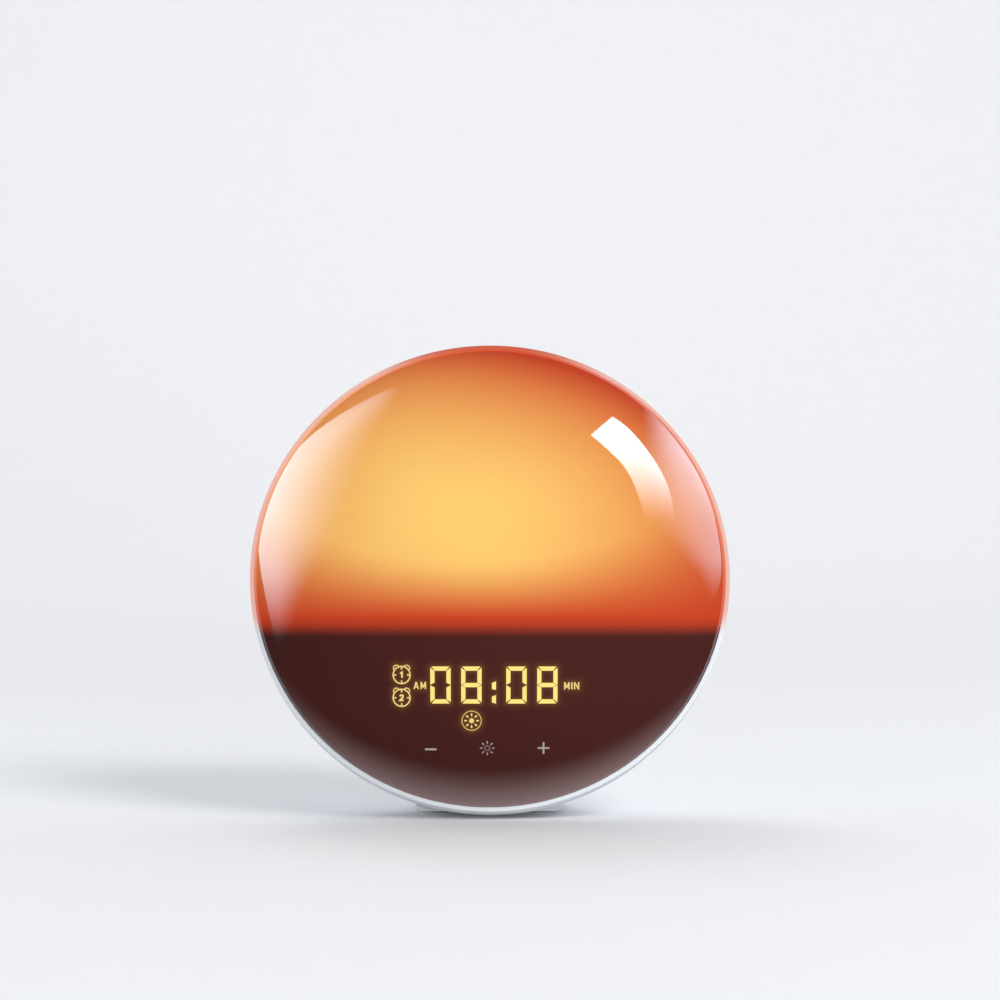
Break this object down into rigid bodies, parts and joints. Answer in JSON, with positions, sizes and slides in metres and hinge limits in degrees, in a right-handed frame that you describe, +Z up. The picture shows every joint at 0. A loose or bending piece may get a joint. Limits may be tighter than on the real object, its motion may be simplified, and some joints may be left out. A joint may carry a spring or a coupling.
{
  "type": "sunrise alarm clock",
  "caption": "Round sunrise alarm clock: a lit amber dome with a dark display zone on a white body that leans back on a low foot, with keys, speaker and power socket at the back.",
  "frame": {"origin": "on the table, under the middle of the overall width and depth", "axes": "+X to the right as seen from the front, +Y to the back, +Z up; the dome looks towards -Y and upwards"},
  "size_m": [0.175, 0.1072, 0.1712],
  "materials": {
    "dome_plastic": "glossy opal dome, lit amber from behind above the display zone, tinted dark plum below",
    "white_plastic": "fine-grained white moulding",
    "foot_plastic": "fine-grained light grey moulding",
    "rubber": "soft grey rubber",
    "key_plastic": "satin light grey caps",
    "plunger_plastic": "satin",
    "black_plastic": "fine-grained black moulding",
    "steel": "zinc-plated",
    "contact_brass": "bright",
    "green_board": "solder resist",
    "white_board": "white solder resist",
    "led_phosphor": "phosphor under clear resin",
    "plug_nylon": "natural nylon",
    "capacitor_can": "satin can",
    "mesh_cloth": "fine woven dust cloth",
    "cone_paper": "pressed paper",
    "magnet_steel": "plated cup",
    "basket_steel": "black pressed steel",
    "red_lead": "soft insulation",
    "grey_lead": "soft insulation",
    "black_lead": "soft insulation"
  },
  "bodies": {
    "clock": {"dome": "dome_plastic", "front_frame": "white_plastic", "rear_case": "white_plastic", "foot": "foot_plastic", "foot_pads": "rubber", "case_screws": "steel", "light_baffle": "white_plastic", "display_housing": "black_plastic", "light_wells": "black_plastic", "display_leds": "led_phosphor", "display_board": "green_board", "display_screws": "steel", "touch_springs": "steel", "lamp_board": "white_board", "lamp_leds": "led_phosphor", "lamp_screws": "steel", "main_board": "green_board", "controller_chip": "black_plastic", "capacitors": "capacitor_can", "push_switches": "black_plastic", "board_screws": "steel", "dc_socket": "black_plastic", "dc_socket_pin": "steel", "coin_cell": "steel", "cell_contact": "contact_brass", "speaker_mesh": "mesh_cloth", "speaker_gasket": "rubber", "speaker_basket": "basket_steel", "speaker_magnet": "magnet_steel", "speaker_screws": "steel", "lead_plugs": "plug_nylon", "lamp_lead": "red_lead", "display_lead": "grey_lead", "speaker_lead": "black_lead"},
    "key_body_1": {"key_1": "key_plastic", "plunger_1": "plunger_plastic"},
    "key_body_2": {"key_2": "key_plastic", "plunger_2": "plunger_plastic"},
    "key_body_3": {"key_3": "key_plastic", "plunger_3": "plunger_plastic"},
    "key_body_4": {"key_4": "key_plastic", "plunger_4": "plunger_plastic"},
    "key_body_5": {"key_5": "key_plastic", "plunger_5": "plunger_plastic"},
    "key_body_6": {"key_6": "key_plastic", "plunger_6": "plunger_plastic"},
    "battery_door_body": {"battery_door": "white_plastic"},
    "speaker_cone_body": {"speaker_cone": "cone_paper"}
  },
  "joints": [
    {"name": "key_1_press", "type": "slide", "parent": "clock", "child": "key_body_1", "axis": [0, -0.9613, 0.2756], "range_m": [0, 0.0005], "stiffness_N_per_m": 600, "springref_m": -0.0005},
    {"name": "key_2_press", "type": "slide", "parent": "clock", "child": "key_body_2", "axis": [0, -0.9613, 0.2756], "range_m": [0, 0.0005], "stiffness_N_per_m": 600, "springref_m": -0.0005},
    {"name": "key_3_press", "type": "slide", "parent": "clock", "child": "key_body_3", "axis": [0, -0.9613, 0.2756], "range_m": [0, 0.0005], "stiffness_N_per_m": 600, "springref_m": -0.0005},
    {"name": "key_4_press", "type": "slide", "parent": "clock", "child": "key_body_4", "axis": [0, -0.9613, 0.2756], "range_m": [0, 0.0005], "stiffness_N_per_m": 600, "springref_m": -0.0005},
    {"name": "key_5_press", "type": "slide", "parent": "clock", "child": "key_body_5", "axis": [0, -0.9613, 0.2756], "range_m": [0, 0.0005], "stiffness_N_per_m": 600, "springref_m": -0.0005},
    {"name": "key_6_press", "type": "slide", "parent": "clock", "child": "key_body_6", "axis": [0, -0.9613, 0.2756], "range_m": [0, 0.0005], "stiffness_N_per_m": 600, "springref_m": -0.0005},
    {"name": "battery_door_turn", "type": "hinge", "parent": "clock", "child": "battery_door_body", "pos_m": [0, 0.0267, 0.03849], "axis": [0, 0.9613, -0.2756], "range_deg": [0, 45]},
    {"name": "speaker_cone_stroke", "type": "slide", "parent": "clock", "child": "speaker_cone_body", "axis": [0, -0.9613, 0.2756], "range_m": [-0.0003, 0.0003], "stiffness_N_per_m": 1500}
  ]
}
